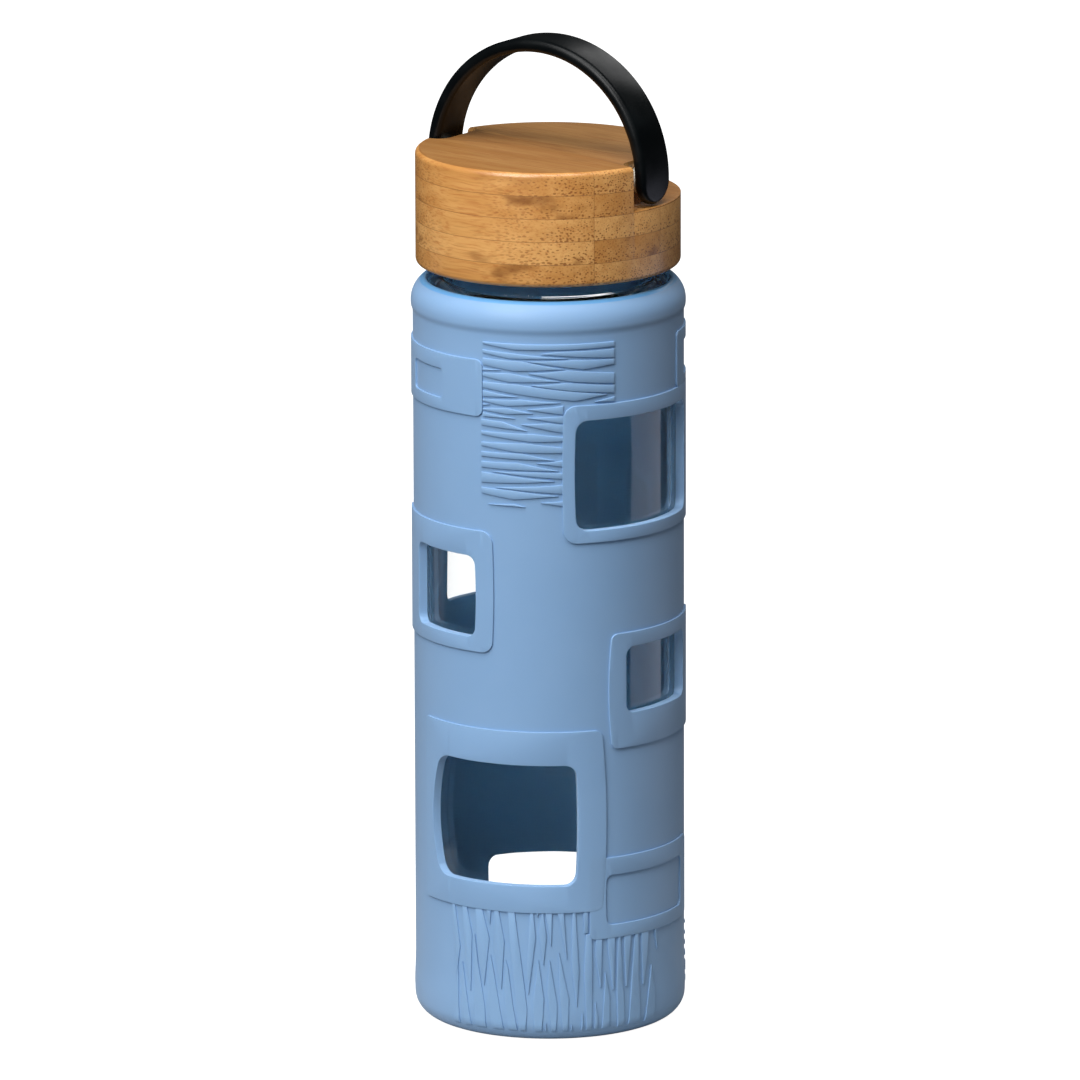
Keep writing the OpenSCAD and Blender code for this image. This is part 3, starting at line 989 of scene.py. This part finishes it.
    def build(self, material: bpy.types.Material, lining: bpy.types.Material) -> bpy.types.Object:
        """Builds the sleeve as one piece.

        Args:
            material: Its finish.
            lining: Finish of its smooth inside, which lies wet against the glass; it is the same silicone
                made darker and bluer, painted shade for the inside seen through the glass.

        Returns:
            The piece.
        """
        bm = self.shell()
        through = -(self.wall + 0.03)
        join(bm, self.rings(self.frames, self.windows, through, self.rise, 0.3),
             self.rings(self.plates, self.panels, -self.root, self.plate_rise, 0.25),
             self.shards(LEVEL_SHARDS), self.shards(HANGING_SHARDS + FOOT_SHARDS),
             self.shards(LEVEL_SHARDS[20:], 76, -139), self.shards(LEVEL_SHARDS[18:], -72, 0),
             self.shards(HANGING_SHARDS, -82, 65.5))
        piece = finish_mesh(bm, "Sleeve", material)
        piece.data.materials.append(lining)
        # Inside faces get the lining, whose darker, bluer colour is painted shade for the inside seen
        # through the glass.
        limit = (self.glass_r + self.fit + 0.05) * MM
        for face in piece.data.polygons:
            if math.hypot(face.center.x, face.center.y) < limit and face.center.z > self.wall * MM * 0.9:
                face.material_index = 1
        return piece


# ---------------------------------------------------------------- glass


@dataclass
class Bottle:
    """Clear glass body with a thick floor, a round shoulder and a threaded neck."""

    outer_r: float
    foot_z: float
    top: float
    wall: float = 2.4
    floor: float = 4.5
    shoulder_z: float = 196.0
    neck_step: float = 6.1
    thread_depth: float = 1.2
    thread_root: float = 1.76
    thread_z: float = 204.6
    pitch: float = 4.0
    turns: float = 1.4

    @property
    def neck_r(self) -> float:
        """Outer radius of the neck."""
        return self.outer_r - self.neck_step

    def thread(self) -> bmesh.types.BMesh:
        """The screw ridge round the neck.

        Returns:
            A closed mesh that sinks into the neck.
        """
        steps_per_turn = 48
        steps = round(self.turns * steps_per_turn)
        bm = bmesh.new()
        half = self.thread_root / 2
        profile(bm, [(self.neck_r - 0.4, self.thread_z - half, 0),
                     (self.neck_r + self.thread_depth, self.thread_z - half * 0.45, 0.3),
                     (self.neck_r + self.thread_depth, self.thread_z + half * 0.45, 0.3),
                     (self.neck_r - 0.4, self.thread_z + half, 0)], 3)
        bmesh.ops.spin(bm, geom=bm.verts[:] + bm.edges[:] + bm.faces[:], cent=(0, 0, 0), axis=(0, 0, 1),
                       dvec=(0, 0, self.pitch / steps_per_turn), angle=2 * math.pi * self.turns, steps=steps,
                       use_merge=False, use_duplicate=False)
        run_out = 0.1  # turns over which the ridge fades at each end
        least = 0.06
        for vert in bm.verts:
            reach = math.hypot(vert.co.x, vert.co.y)
            climbed = (vert.co.z - self.thread_z) / self.pitch
            fade = min(1.0, max(least, climbed + run_out) / run_out,
                       max(least, self.turns - climbed) / run_out)
            if reach > self.neck_r and fade < 1:
                shrink = (self.neck_r + (reach - self.neck_r) * fade) / reach
                vert.co.x *= shrink
                vert.co.y *= shrink
        bmesh.ops.holes_fill(bm, edges=[e for e in bm.edges if len(e.link_faces) == 1], sides=0)
        bmesh.ops.recalc_face_normals(bm, faces=bm.faces)
        return bm

    def build(self, material: bpy.types.Material) -> bpy.types.Object:
        """Builds the bottle as one piece.

        Args:
            material: Its finish.

        Returns:
            The piece.
        """
        bore = self.outer_r - self.wall
        mouth = self.neck_r - self.wall
        under = self.shoulder_z - self.wall
        inside_z = self.foot_z + self.floor
        bm = turn_profile(
            [(0, self.foot_z + 0.9, 0), (self.outer_r - 11, self.foot_z + 0.6, 2.0),
             (self.outer_r - 8, self.foot_z, 1.2), (self.outer_r, self.foot_z, 4.0),
             (self.outer_r, self.shoulder_z, 5.4), (self.neck_r, self.shoulder_z, 0.6),
             (self.neck_r, self.top, 0.8), (mouth, self.top, 0.8), (mouth, under, 1.2),
             (bore, under, 4.6), (bore, inside_z, 4.0), (0, inside_z, 0)], 192, 0.0, 8)
        join(bm, self.thread())
        return finish_mesh(bm, "Glass_bottle", material, recalculate=False)


# ---------------------------------------------------------------- cap


class Side(IntEnum):
    """End of the strap's pivot line, as its sign along X."""

    RIGHT = 1
    LEFT = -1


@dataclass
class BambooCap:
    """Turned bamboo cap with two strap notches: a closed slot on the left and one run out on the right."""

    radius: float
    low: float
    high: float
    liner_r: float
    liner_top: float
    notch_z: float
    pivot_z: float
    bush_r: float
    bush_depth: float
    wall_x: float
    glue: float = 0.05
    edge: float = 1.4
    cutter: float = 4.0
    slot_front: float = 7.36
    slot_back: float = 10.76
    notch_front: float = 9.4
    notch_seat: float = 7.0
    runout: float = 28.0
    soft: float = 0.35

    def notch_cutter(self, side: Side) -> bpy.types.Object:
        """A cutter for one strap notch.

        Args:
            side: RIGHT for the open notch, LEFT for the closed slot.

        Returns:
            A closed shape.
        """
        bm = bmesh.new()
        far = self.radius + 5
        if side is Side.RIGHT:
            back = self.notch_seat + self.radius
            points = [(far, -self.notch_front), (far, back),
                      (self.wall_x - self.radius * math.tan(math.radians(self.runout)), back),
                      (self.wall_x, self.notch_seat), (self.wall_x, -self.notch_front)]
            rounded = slice(-1, None)
        else:
            points = [(-far, -self.slot_front), (-self.wall_x, -self.slot_front),
                      (-self.wall_x, self.slot_back), (-far, self.slot_back)]
            rounded = slice(1, 3)
        verts = [bm.verts.new((x, y, self.notch_z)) for x, y in points]
        bm.faces.new(verts)
        bmesh.ops.bevel(bm, geom=verts[rounded], offset=self.cutter, offset_type="OFFSET", segments=10,
                        profile=0.5, affect="VERTICES", material=-1, clamp_overlap=True)
        made = bmesh.ops.extrude_face_region(bm, geom=bm.faces[:], use_keep_orig=True)["geom"]
        bmesh.ops.translate(bm, vec=(0, 0, self.high - self.notch_z + 5),
                            verts=[g for g in made if isinstance(g, bmesh.types.BMVert)])
        return finish_mesh(bm, "cutter", bpy.data.materials[0])

    def bush_cutter(self, side: Side) -> bpy.types.Object:
        """A cutter for the hole of one bush.

        Args:
            side: End of the pivot line.

        Returns:
            A closed shape.
        """
        bm = bmesh.new()
        length = self.bush_depth + 5
        bmesh.ops.create_cone(bm, cap_ends=True, segments=40, radius1=self.bush_r + self.glue,
                              radius2=self.bush_r + self.glue, depth=length)
        bmesh.ops.rotate(bm, cent=(0, 0, 0), matrix=Matrix.Rotation(math.pi / 2, 3, "Y"), verts=bm.verts)
        middle = self.wall_x - self.bush_depth + length / 2
        bmesh.ops.translate(bm, vec=(side * middle, 0, self.pivot_z), verts=bm.verts)
        return finish_mesh(bm, "cutter", bpy.data.materials[0])

    def build(self, material: bpy.types.Material) -> bpy.types.Object:
        """Builds the cap as one piece.

        Args:
            material: Its finish.

        Returns:
            The piece.
        """
        bore = self.liner_r + self.glue
        bm = turn_profile([(0, self.liner_top + self.glue, 0), (bore, self.liner_top + self.glue, 0),
                           (bore, self.low, 0.4), (self.radius, self.low, self.edge),
                           (self.radius, self.high, self.edge), (0, self.high, 0)], 192, 0.0, 6)
        piece = finish_mesh(bm, "Bamboo_cap", material)
        cut_away(piece, [cutter(side) for cutter in (self.notch_cutter, self.bush_cutter) for side in Side])
        return self.soften(piece)

    def soften(self, piece: bpy.types.Object) -> bpy.types.Object:
        """Breaks the sharp edges that the cutters left.

        Args:
            piece: The cap.

        Returns:
            The same piece.
        """
        bm = bmesh.new()
        bm.from_mesh(piece.data)
        bmesh.ops.remove_doubles(bm, verts=bm.verts, dist=1e-6)
        notch = self.notch_z * MM - 1e-5
        sharp = [e for e in bm.edges if len(e.link_faces) == 2 and e.calc_face_angle(0) > math.radians(38)
                 and all(v.co.z > notch for v in e.verts)]
        bmesh.ops.bevel(bm, geom=sharp, offset=self.soft * MM, offset_type="OFFSET", segments=2, profile=0.5,
                        affect="EDGES", material=-1, clamp_overlap=True)
        for face in bm.faces:
            face.smooth = True
        bm.to_mesh(piece.data)
        bm.free()
        piece.data.set_sharp_from_angle(angle=SMOOTH_ANGLE)
        return piece


# ---------------------------------------------------------------- strap


@dataclass
class CarryStrap:
    """Flat rubber strap, bent into a half-round arch between two round ends."""

    pivot_z: float
    outer_r: float
    width: float
    thickness: float = 3.5
    edge: float = 1.5

    def build(self, material: bpy.types.Material) -> bpy.types.Object:
        """Builds the strap as one piece.

        Args:
            material: Its finish.

        Returns:
            The piece.
        """
        bm = bmesh.new()
        middle_r = self.outer_r - self.thickness / 2
        half_arch = math.pi * middle_r / 2
        half = self.width / 2
        bmesh.ops.create_circle(bm, cap_ends=True, radius=half, segments=48)
        bmesh.ops.rotate(bm, cent=(0, 0, 0), matrix=Matrix.Rotation(math.pi / 2, 3, "Z"), verts=bm.verts)
        for vert in bm.verts:
            if abs(vert.co.x) > 1e-4:
                vert.co.x += math.copysign(half_arch, vert.co.x)
        slice_ends = [v for v in bm.verts if abs(v.co.x) < 1e-4]
        bmesh.ops.dissolve_verts(bm, verts=slice_ends)
        raise_faces(bm, bm.faces[:], -self.thickness / 2, self.thickness / 2)
        edges = [e for e in bm.edges if abs(e.verts[0].co.z - e.verts[1].co.z) < 1e-4]
        bmesh.ops.bevel(bm, geom=edges, offset=self.edge, offset_type="OFFSET", segments=5, profile=0.5,
                        affect="EDGES", material=-1, clamp_overlap=True)
        slice_flat(bm, 0, [half_arch * i / 48 for i in range(-48, 49)])
        for vert in bm.verts:
            along, across, out = vert.co
            clipped = max(-half_arch, min(half_arch, along))
            angle = clipped / middle_r
            reach = middle_r + out
            drop = abs(along) - abs(clipped)
            vert.co = (reach * math.sin(angle), across, self.pivot_z + reach * math.cos(angle) - drop)
        return finish_mesh(bm, "Carry_strap", material)


# ---------------------------------------------------------------- studio


@dataclass
class Studio:
    """Pale floor, soft lights and the camera."""

    azimuth: float = 34.3
    distance: float = 3.2
    height: float = 0.87795
    aim_side: float = -0.00232
    seen_strength: float = 1.25
    spread_strength: float = 0.09
    inside_strength: float = 3.2
    least_strength: float = 0.02
    aim_height: float = 0.1259
    roll: float = -0.165
    lens: float = 421.84
    sensor: float = 36.0
    floor_r: float = 160.0

    def direction(self, azimuth: float) -> Vector:
        """Level direction from the axis towards an azimuth, in degrees from -Y towards +X."""
        turn = math.radians(azimuth)
        return Vector((math.sin(turn), -math.cos(turn), 0))

    def add_camera(self) -> bpy.types.Object:
        """Adds the camera and makes it the scene's.

        Returns:
            The camera.
        """
        data = bpy.data.cameras.new("Camera")
        data.lens = self.lens
        data.sensor_width = self.sensor
        data.clip_end = 50
        camera = bpy.data.objects.new("Camera", data)
        bpy.context.scene.collection.objects.link(camera)
        place = self.direction(self.azimuth) * self.distance + Vector((0, 0, self.height))
        side = Vector((math.cos(math.radians(self.azimuth)), math.sin(math.radians(self.azimuth)), 0))
        aim = side * self.aim_side + Vector((0, 0, self.aim_height))
        look = (aim - place).to_track_quat("-Z", "Y")
        camera.matrix_world = (Matrix.Translation(place) @ look.to_matrix().to_4x4()
                               @ Matrix.Rotation(math.radians(self.roll), 4, "Z"))
        bpy.context.scene.camera = camera
        return camera

    def add_floor(self) -> None:
        """Adds a pale round floor of opal acrylic, lit softly from below."""
        bm = bmesh.new()
        bmesh.ops.create_circle(bm, cap_ends=True, radius=self.floor_r, segments=96)
        material, tree, shader = new_material("Matt_opal_acrylic")
        tint = noise(tree, object_coordinates(tree), 60.0, 2.0)
        tree.links.new(mix(tree, tint, linear("#9C9C9B"), linear("#A6A6A5")), shader.inputs["Base Color"])
        tree.links.new(maths(tree, "MULTIPLY", self.seen_directly(tree), 1.0),
                       shader.inputs["Emission Strength"])
        shader.inputs["Emission Color"].default_value = linear("#FFFFFF")
        shader.inputs["Roughness"].default_value = 0.75
        finish_mesh(bm, "Floor", material, recalculate=False)

    def seen_directly(self, tree: bpy.types.NodeTree, extra: float = 0.0) -> bpy.types.NodeSocket:
        """Tells what is seen straight on or through clear glass from what only lights or reflects.

        Args:
            tree: Node tree of the material or the world.
            extra: Ray depth that the renderer adds, 1 in a world.

        Returns:
            A float socket, 1 for what is seen.
        """
        path = add(tree, "ShaderNodeLightPath")
        others = maths(tree, "SUBTRACT", path.outputs["Ray Depth"], path.outputs["Transmission Depth"])
        return maths(tree, "LESS_THAN", others, 0.5 + extra)

    def add_light(self, name: str, azimuth: float, distance: float, height: float, size: Point,
                  power: float, colour: str = "#FFFFFF", only_shine: bool = False) -> None:
        """Adds one soft rectangular light that faces the bottle.

        Args:
            name: Name of the light.
            azimuth: Its direction from the bottle.
            distance: Its level distance in metres.
            height: Its height in metres.
            size: Width and height in metres.
            power: Power in watts.
            colour: Its colour.
            only_shine: Whether it shows only in reflections, as a card beside the bottle does.
        """
        data = bpy.data.lights.new(name, "AREA")
        data.shape = "RECTANGLE"
        data.size, data.size_y = size
        data.energy = power
        data.color = linear(colour)[:3]
        light = bpy.data.objects.new(name, data)
        bpy.context.scene.collection.objects.link(light)
        place = self.direction(azimuth) * distance + Vector((0, 0, height))
        light.location = place
        light.rotation_euler = (Vector((0, 0, 0.13)) - place).to_track_quat("-Z", "Y").to_euler()
        light.visible_camera = False
        light.visible_transmission = not only_shine
        light.visible_diffuse = not only_shine

    def add_world(self) -> None:
        """White surroundings for what is seen, dimmer ones for what they light."""
        world = bpy.data.worlds.new("Studio")
        bpy.context.scene.world = world
        world.use_nodes = True
        tree = world.node_tree
        tree.nodes.clear()
        path = add(tree, "ShaderNodeLightPath")
        spread = maths(tree, "GREATER_THAN", path.outputs["Diffuse Depth"], 0.5)
        inside = maths(tree, "MULTIPLY", spread, path.outputs["Is Transmission Ray"])
        dim = maths(tree, "MULTIPLY_ADD", inside, self.inside_strength, self.least_strength)
        soft = maths(tree, "MULTIPLY_ADD", spread, self.spread_strength, dim)
        strength = maths(tree, "MULTIPLY_ADD", self.seen_directly(tree, 1.0), self.seen_strength, soft)
        back = add(tree, "ShaderNodeBackground", {"Color": linear("#FFFFFF"), "Strength": strength})
        add(tree, "ShaderNodeOutputWorld", {"Surface": back.outputs[0]})

    def build(self) -> None:
        """Adds the whole studio."""
        self.add_camera()
        self.add_floor()
        self.add_world()
        self.add_light("Key", self.azimuth - 34, 1.15, 1.05, (0.8, 0.8), 19)
        self.add_light("Top", self.azimuth - 15, 0.45, 1.4, (1.3, 0.5), 14)
        self.add_light("Card_right", self.azimuth + 98, 0.8, -0.15, (0.62, 0.4), 1.0, "#DDE0F4", True)
        self.add_light("Card_left", self.azimuth - 115, 0.8, -0.2, (0.25, 0.4), 0.12, "#DDE0F4", True)
        self.add_light("Back", self.azimuth + 150, 0.9, 0.8, (0.5, 0.5), 1.5)
        bpy.context.scene.view_settings.view_transform = "Standard"


# ---------------------------------------------------------------- assembly


def millimetres(node: str) -> tuple[Vector, Vector]:
    """Lowest and highest corner of a node, in millimetres."""
    low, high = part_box(node)
    return low / MM, high / MM


def dress(node: str, material: bpy.types.Material) -> None:
    """Gives a carried-over node its finish.

    Args:
        node: Name of the node.
        material: Its finish.
    """
    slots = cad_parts[node].data.materials
    slots.clear()
    slots.append(material)


def main() -> None:
    """Builds the bottle, its cap, its strap and the studio."""
    logging.basicConfig(level=logging.INFO, format="%(message)s")
    glass_low, glass_high = millimetres("glass_bottle")
    _, sleeve_high = millimetres("silicone_sleeve")
    cap_low, cap_high = millimetres("bamboo_cap")
    _, liner_high = millimetres("cap_liner")
    strap_low, strap_high = millimetres("carry_strap")
    pin_low, pin_high = millimetres("pivot_pin_right")
    bush_low, bush_high = millimetres("pivot_bush_right")
    pivot_z = (pin_low.z + pin_high.z) / 2

    Studio().build()

    sleeve = Sleeve(glass_r=glass_high.x, frame_r=35.6, top=sleeve_high.z)
    outside = MattSilicone("Moulded_blue_silicone", "#88ADD5", "#7FA5CE").material()
    # The inside is the same silicone made darker and bluer: painted shade for the inside seen through the
    # glass.
    inside = MattSilicone("Polished_blue_silicone", "#67A5DA", "#5F9DD4", 0.35).material()
    place_piece(sleeve.build(outside, inside), "bottle", ["silicone_sleeve"])

    bottle = Bottle(outer_r=glass_high.x, foot_z=glass_low.z, top=glass_high.z)
    place_piece(bottle.build(PressedGlass("Moulded_clear_glass", "#FEFFFF").material()),
                "bottle", ["glass_bottle"])

    cap = BambooCap(radius=cap_high.x, low=cap_low.z, high=cap_high.z, liner_r=liner_high.x,
                    liner_top=liner_high.z, notch_z=strap_low.z - 0.4, pivot_z=pivot_z,
                    bush_r=(bush_high.z - bush_low.z) / 2, bush_depth=bush_high.x - bush_low.x,
                    wall_x=bush_high.x)
    place_piece(cap.build(Bamboo("Varnished_bamboo", base_z=cap_low.z).material()), "cap",
                ["bamboo_cap"])

    strap = CarryStrap(pivot_z=pivot_z, outer_r=strap_high.x, width=strap_high.y - strap_low.y)
    place_piece(strap.build(StrapRubber("Moulded_black_rubber", "#05080A", "#0B1113").material()),
                "strap", ["carry_strap"])

    liner = MouldedPlastic("Moulded_polypropylene", "#EFEFEA", "#E6E6DF").material()
    seal = MattSilicone("Moulded_clear_silicone", "#E8E8E2", "#DEDED6").material()
    nylon = MouldedPlastic("Moulded_nylon", "#E6E4DA", "#DAD8CC", 0.45).material()
    steel = TurnedMetal("Turned_stainless_steel", "#C6C8CA", 0.28).material()
    brass = TurnedMetal("Turned_brass", "#D8B45C", 0.3).material()
    dress("cap_liner", liner)
    dress("cap_seal", seal)
    for side in ("left", "right"):
        dress("pivot_pin_" + side, steel)
        dress("pivot_bush_" + side, brass)
        dress("pivot_washer_" + side, nylon)


if __name__ == "__main__":
    main()
